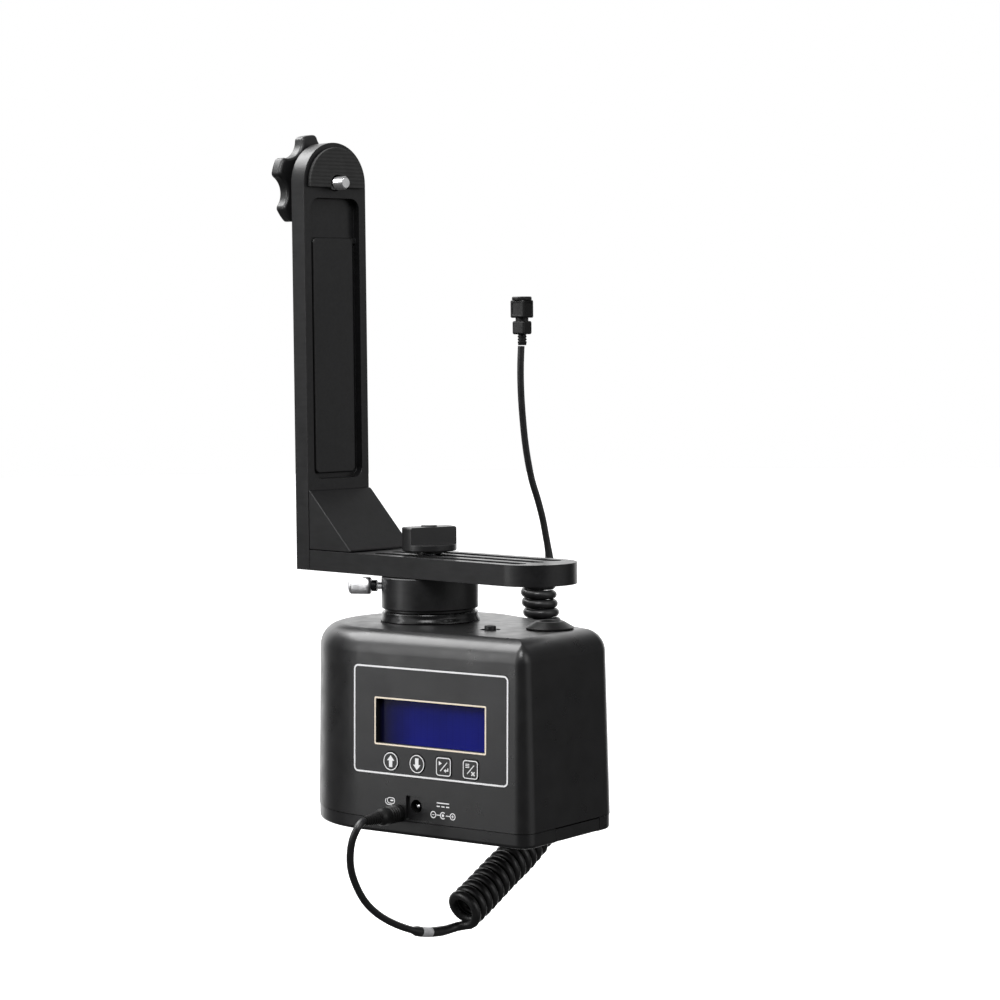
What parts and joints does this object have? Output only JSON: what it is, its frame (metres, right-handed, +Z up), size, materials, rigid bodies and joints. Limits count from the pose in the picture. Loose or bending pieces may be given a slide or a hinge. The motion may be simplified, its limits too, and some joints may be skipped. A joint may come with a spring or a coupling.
{
  "type": "motorised camera pan head",
  "caption": "Motorised pan head: controller housing with a turning hub, a sliding slotted L-bracket with hand knobs for a camera, and a coiled release cord.",
  "frame": {"origin": "mouth of the stand socket, on the underside of the housing and on the pan axis", "axes": "+Z up along the pan axis, -Y out of the front face with the display and keys, +X towards the battery end"},
  "size_m": [0.1759, 0.1592, 0.3673],
  "materials": {
    "moulded_black": "fine-grained moulded black",
    "printed_panel": "satin black film with light printing",
    "anodised_black": "black anodised, satin",
    "knob_black": "black moulded, satin",
    "nickel": "bright nickel plate",
    "steel": "plain steel",
    "brass": "machined brass",
    "nylon": "natural nylon",
    "rubber": "matt black",
    "cord": "semi-gloss black jacket",
    "display_glass": "clear blue window",
    "board": "green solder mask",
    "cell": "wrapped cell"
  },
  "bodies": {
    "base": {"battery_1": "cell", "battery_2": "cell", "battery_3": "cell", "battery_4": "cell", "battery_case": "rubber", "bottom_tray": "moulded_black", "chassis_plate": "steel", "cord_coil": "cord", "cord_lead_lower": "cord", "display_board": "board", "display_glass": "display_glass", "front_panel": "printed_panel", "housing_cover": "moulded_black", "housing_screw_1": "steel", "housing_screw_2": "steel", "housing_screw_3": "steel", "housing_screw_4": "steel", "keypad_board": "board", "lower_bearing": "steel", "main_board": "board", "motor_can": "steel", "motor_gearbox": "brass", "pan_collar": "anodised_black", "power_jack": "rubber", "power_jack_pin": "nickel", "power_switch": "rubber", "release_jack": "rubber", "release_plug": "rubber", "stand_socket": "steel", "top_boss": "rubber", "upper_bearing": "steel"},
    "rotor": {"pan_hub": "anodised_black", "output_shaft": "steel", "output_gear": "nylon", "shaft_nut": "steel", "cord_lead_upper": "cord", "camera_plug": "rubber"},
    "bracket": {"slide_plate": "anodised_black", "upright_arm": "anodised_black", "corner_gusset": "anodised_black", "bracket_screw_1": "steel", "bracket_screw_2": "steel", "camera_pad": "rubber"},
    "camera_knob": {"star_knob": "knob_black", "camera_screw": "nickel"},
    "clamp": {"clamp_knob": "knob_black", "clamp_stud": "steel"},
    "lock_screw": {"lock_screw_head": "nickel", "lock_screw_collar": "anodised_black", "lock_screw_shank": "nickel"},
    "pinion": {"drive_pinion": "brass"},
    "door": {"battery_door": "moulded_black"},
    "button_power": {"power_button": "knob_black"},
    "button_up": {"key_up": "printed_panel"},
    "button_down": {"key_down": "printed_panel"},
    "button_start": {"key_start": "printed_panel"},
    "button_menu": {"key_menu": "printed_panel"}
  },
  "joints": [
    {"name": "pan", "type": "hinge", "parent": "base", "child": "rotor", "pos_m": [0, 0, 0.1], "axis": [0, 0, 1], "range_deg": [-30, 180]},
    {"name": "pinion_spin", "type": "hinge", "parent": "base", "child": "pinion", "pos_m": [0.02961, -0.0048, 0.069], "axis": [0, 0, 1], "range_deg": [-720, 120]},
    {"name": "bracket_slide", "type": "slide", "parent": "rotor", "child": "bracket", "axis": [0.9871, -0.1599, 0], "range_m": [-0.069, 0.018]},
    {"name": "lock_screw_turn", "type": "hinge", "parent": "rotor", "child": "lock_screw", "pos_m": [0, 0, 0.1048], "axis": [-0.9078, -0.4195, 0], "range_deg": [0, 720]},
    {"name": "clamp_turn", "type": "hinge", "parent": "rotor", "child": "clamp", "pos_m": [0, 0, 0.12], "axis": [0, 0, 1], "range_deg": [0, 720]},
    {"name": "camera_knob_turn", "type": "hinge", "parent": "bracket", "child": "camera_knob", "pos_m": [-0.07058, 0.01143, 0.291], "axis": [0.9871, -0.1599, 0], "range_deg": [0, 1080]},
    {"name": "battery_door_slide", "type": "slide", "parent": "base", "child": "door", "axis": [1, 0, 0], "range_m": [0, 0.045]},
    {"name": "press_up", "type": "slide", "parent": "base", "child": "button_up", "axis": [0, 0.9998, -0.0215], "range_m": [0, 0.0005], "stiffness_N_per_m": 400},
    {"name": "press_down", "type": "slide", "parent": "base", "child": "button_down", "axis": [0, 0.9998, -0.0215], "range_m": [0, 0.0005], "stiffness_N_per_m": 400},
    {"name": "press_start", "type": "slide", "parent": "base", "child": "button_start", "axis": [0, 0.9998, -0.0215], "range_m": [0, 0.0005], "stiffness_N_per_m": 400},
    {"name": "press_menu", "type": "slide", "parent": "base", "child": "button_menu", "axis": [0, 0.9998, -0.0215], "range_m": [0, 0.0005], "stiffness_N_per_m": 400},
    {"name": "press_power", "type": "slide", "parent": "base", "child": "button_power", "axis": [0, 0, -1], "range_m": [0, 0.001], "stiffness_N_per_m": 300}
  ],
  "couplings": [
    {"joint": "pinion_spin", "follows": "pan", "ratio": -4}
  ]
}
